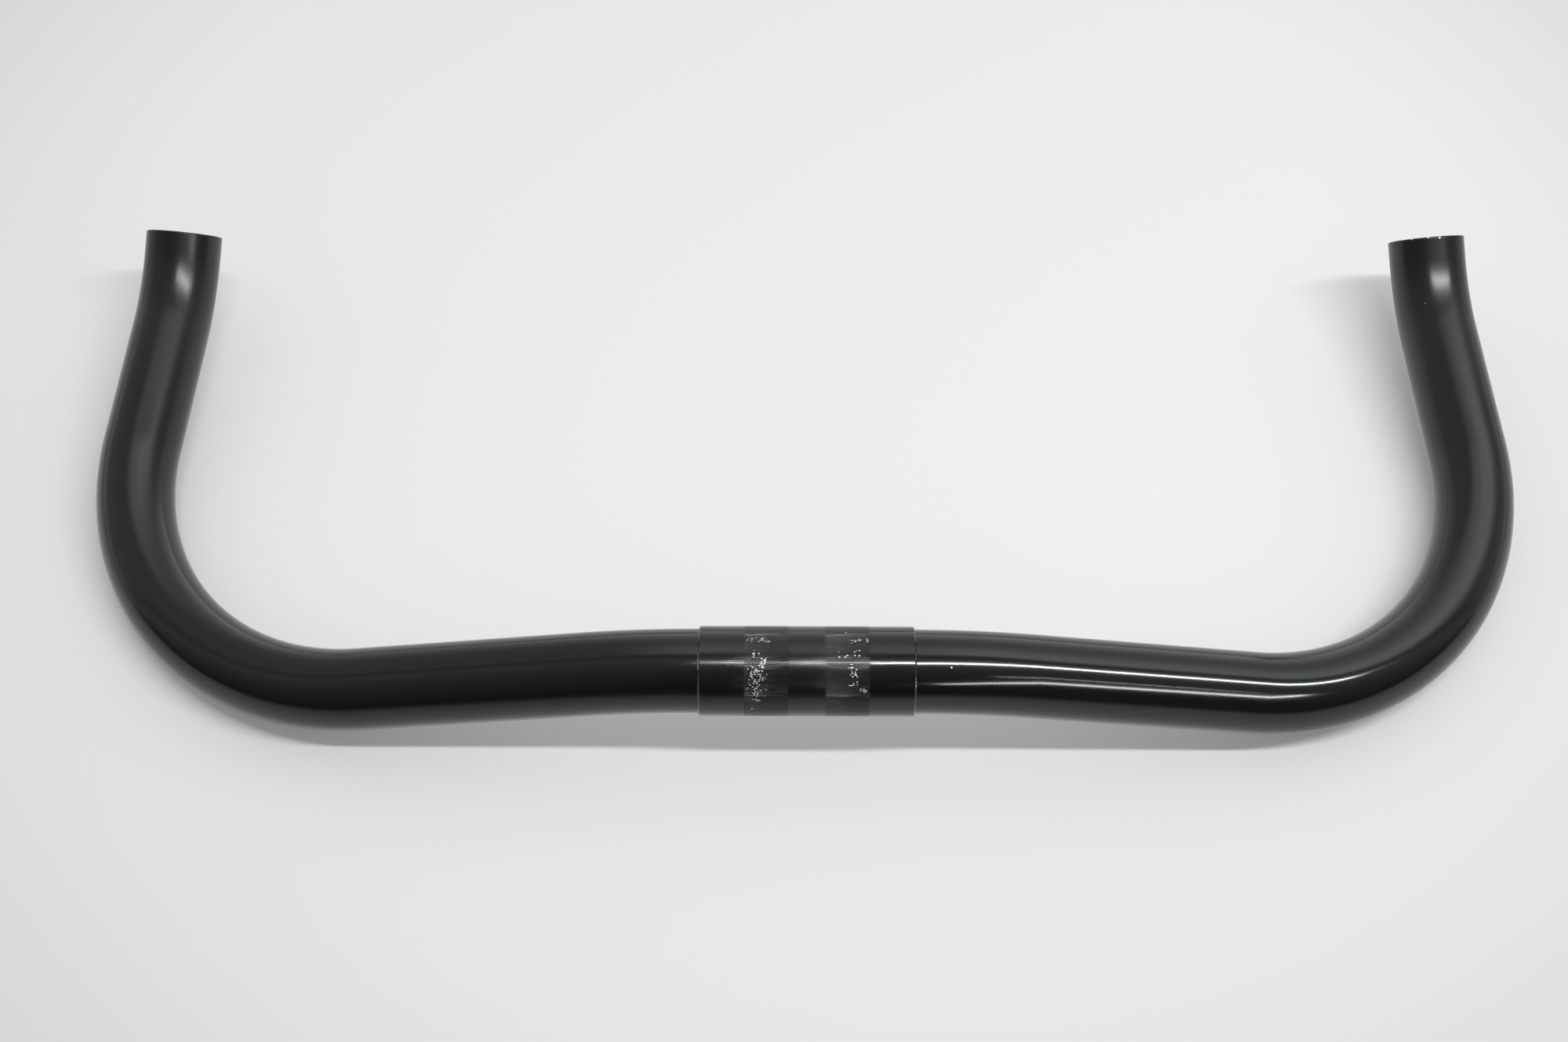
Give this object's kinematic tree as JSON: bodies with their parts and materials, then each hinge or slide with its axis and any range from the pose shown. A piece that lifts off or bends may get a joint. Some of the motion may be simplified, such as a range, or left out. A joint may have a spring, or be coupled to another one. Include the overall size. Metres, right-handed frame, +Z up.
{
  "type": "bullhorn handlebar",
  "caption": "Bent tube handlebar with dropped tops, forward horns that rise at the tips, and a clamp sleeve with fluted grip bands.",
  "frame": {"origin": "middle of the clamp seat, on the axis of the centre sleeve", "axes": "+X along the clamp axis towards the right horn, +Y forward along the horns, +Z up with the bar lying at rest on the undersides of its two corners"},
  "size_m": [0.4404, 0.1853, 0.0515],
  "materials": {
    "gloss_black_tube": "gloss black coat on bent aluminium tube, worn to bare metal in small specks at the edges",
    "gloss_black_sleeve": "gloss black coat on turned and fluted aluminium, rubbed to bare metal in streaks by a clamp"
  },
  "bodies": {
    "root": {"bar_tube": "gloss_black_tube", "centre_sleeve": "gloss_black_sleeve"}
  },
  "joints": []
}
